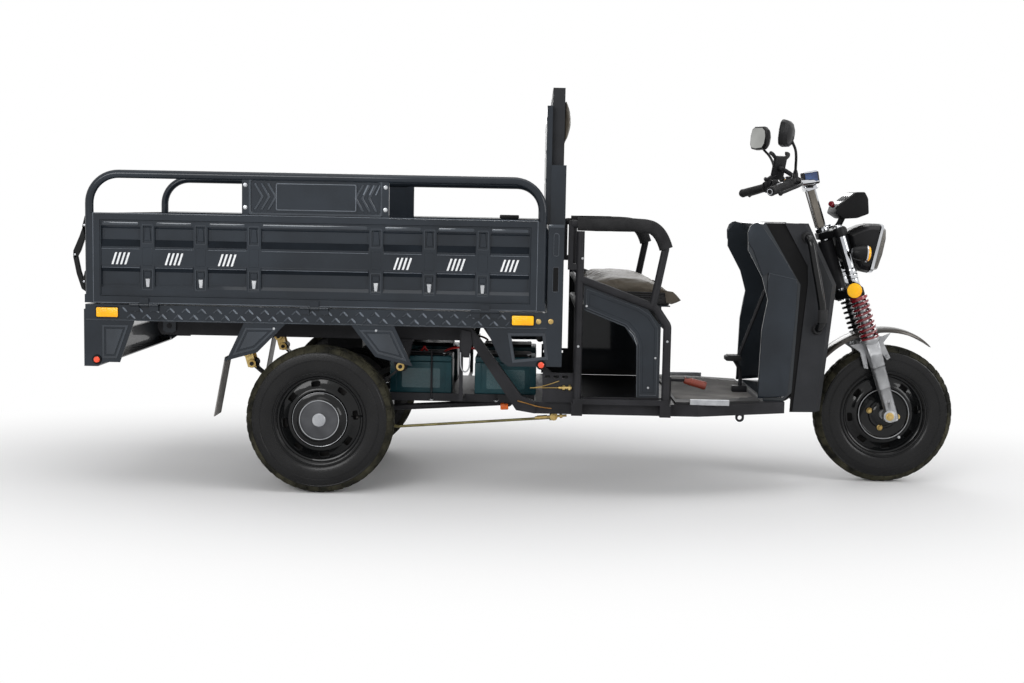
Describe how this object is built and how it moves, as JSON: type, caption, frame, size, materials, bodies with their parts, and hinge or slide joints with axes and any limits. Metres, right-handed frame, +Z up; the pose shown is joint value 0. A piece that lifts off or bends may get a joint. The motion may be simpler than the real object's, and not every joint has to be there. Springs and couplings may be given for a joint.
{
  "type": "electric cargo tricycle",
  "caption": "Electric cargo tricycle with one steered front wheel, a driver's bench and a tipping drop-side cargo bed",
  "frame": {"origin": "On the ground under the middle of the vehicle's length and width", "axes": "+X forwards, +Y to the vehicle's left, +Z up"},
  "size_m": [3.3466, 1.102, 1.4909],
  "materials": {
    "frame_paint": "satin dark grey paint",
    "rubber": "black rubber",
    "battery_case": "dark teal plastic",
    "motor_case": "painted casting",
    "spring_steel": "black painted spring steel",
    "zinc": "yellow zinc plate",
    "body_paint": "dark blue-grey gloss paint",
    "seat_vinyl": "grey-brown glossy vinyl",
    "foam": "black foam",
    "black_plastic": "black moulded plastic",
    "matt_plastic": "dark grey textured plastic",
    "red_lens": "red lens",
    "amber_lens": "amber lens",
    "chrome": "bright chrome",
    "cast_alloy": "cast alloy",
    "spring_red": "dark red paint",
    "clear_lens": "clear moulded lens",
    "tyre": "tyre rubber",
    "rim_paint": "gloss black paint"
  },
  "bodies": {
    "chassis": {"chassis_frame": "frame_paint", "footwell_frame": "frame_paint", "head_tube": "frame_paint", "floor_mat": "rubber", "battery_tray": "frame_paint", "batteries": "battery_case", "controller": "battery_case", "rear_axle": "frame_paint", "drive_motor": "motor_case", "leaf_springs": "spring_steel", "spring_shackles": "zinc", "spring_u_bolts": "zinc", "brake_rod": "zinc", "torque_rod": "frame_paint", "seat_frame": "frame_paint", "seat_box": "body_paint", "seat_cushion": "seat_vinyl", "armrest_foam": "foam", "leg_shield": "black_plastic", "leg_covers": "body_paint", "front_fairing": "matt_plastic", "crash_bars": "frame_paint", "brake_pedal": "frame_paint", "parking_lever": "frame_paint"},
    "cargo_bed": {"bed_floor": "body_paint", "rear_bumper": "body_paint", "headboard": "body_paint", "back_pad": "black_plastic", "wheel_guards": "body_paint", "mud_flaps": "rubber", "tail_lamps": "red_lens", "side_reflectors": "amber_lens", "back_cushion": "seat_vinyl"},
    "drop_side_left": {"side_frame_left": "body_paint", "side_panel_left": "body_paint"},
    "drop_side_right": {"side_frame_right": "body_paint", "side_panel_right": "body_paint"},
    "tailgate": {"tailgate": "body_paint", "tailgate_latches": "zinc"},
    "steering": {"fork": "chrome", "fork_legs": "cast_alloy", "fork_springs": "spring_red", "front_fender": "body_paint", "headlight": "matt_plastic", "headlight_lens": "clear_lens", "instrument_pod": "black_plastic", "handlebar": "chrome", "handlebar_grips": "rubber", "mirrors": "black_plastic", "turn_signals": "amber_lens", "display_box": "black_plastic", "phone_holder": "black_plastic"},
    "front_wheel": {"tyre_front": "tyre", "wheel_front": "rim_paint"},
    "rear_wheel_left": {"tyre_rear_left": "tyre", "wheel_rear_left": "rim_paint"},
    "rear_wheel_right": {"tyre_rear_right": "tyre", "wheel_rear_right": "rim_paint"}
  },
  "joints": [
    {"name": "steering_turn", "type": "hinge", "parent": "chassis", "child": "steering", "pos_m": [1.372, 0, 0.272], "axis": [-0.309, 0, 0.9511], "range_deg": [-35, 35]},
    {"name": "front_wheel_spin", "type": "hinge", "parent": "steering", "child": "front_wheel", "pos_m": [1.402, 0, 0.272], "axis": [0, 1, 0], "continuous": true},
    {"name": "rear_wheel_left_spin", "type": "hinge", "parent": "chassis", "child": "rear_wheel_left", "pos_m": [-0.768, 0.465, 0.272], "axis": [0, 1, 0], "continuous": true},
    {"name": "rear_wheel_right_spin", "type": "hinge", "parent": "chassis", "child": "rear_wheel_right", "pos_m": [-0.768, -0.465, 0.272], "axis": [0, 1, 0], "continuous": true},
    {"name": "bed_tip", "type": "hinge", "parent": "chassis", "child": "cargo_bed", "pos_m": [-1.352, 0, 0.594], "axis": [0, -1, 0], "range_deg": [0, 45]},
    {"name": "side_drop_left", "type": "hinge", "parent": "cargo_bed", "child": "drop_side_left", "pos_m": [-0.7825, 0.545, 0.683], "axis": [-1, 0, 0], "range_deg": [0, 175]},
    {"name": "side_drop_right", "type": "hinge", "parent": "cargo_bed", "child": "drop_side_right", "pos_m": [-0.7825, -0.545, 0.683], "axis": [1, 0, 0], "range_deg": [0, 175]},
    {"name": "tailgate_drop", "type": "hinge", "parent": "cargo_bed", "child": "tailgate", "pos_m": [-1.628, 0, 0.683], "axis": [0, -1, 0], "range_deg": [0, 150]}
  ]
}
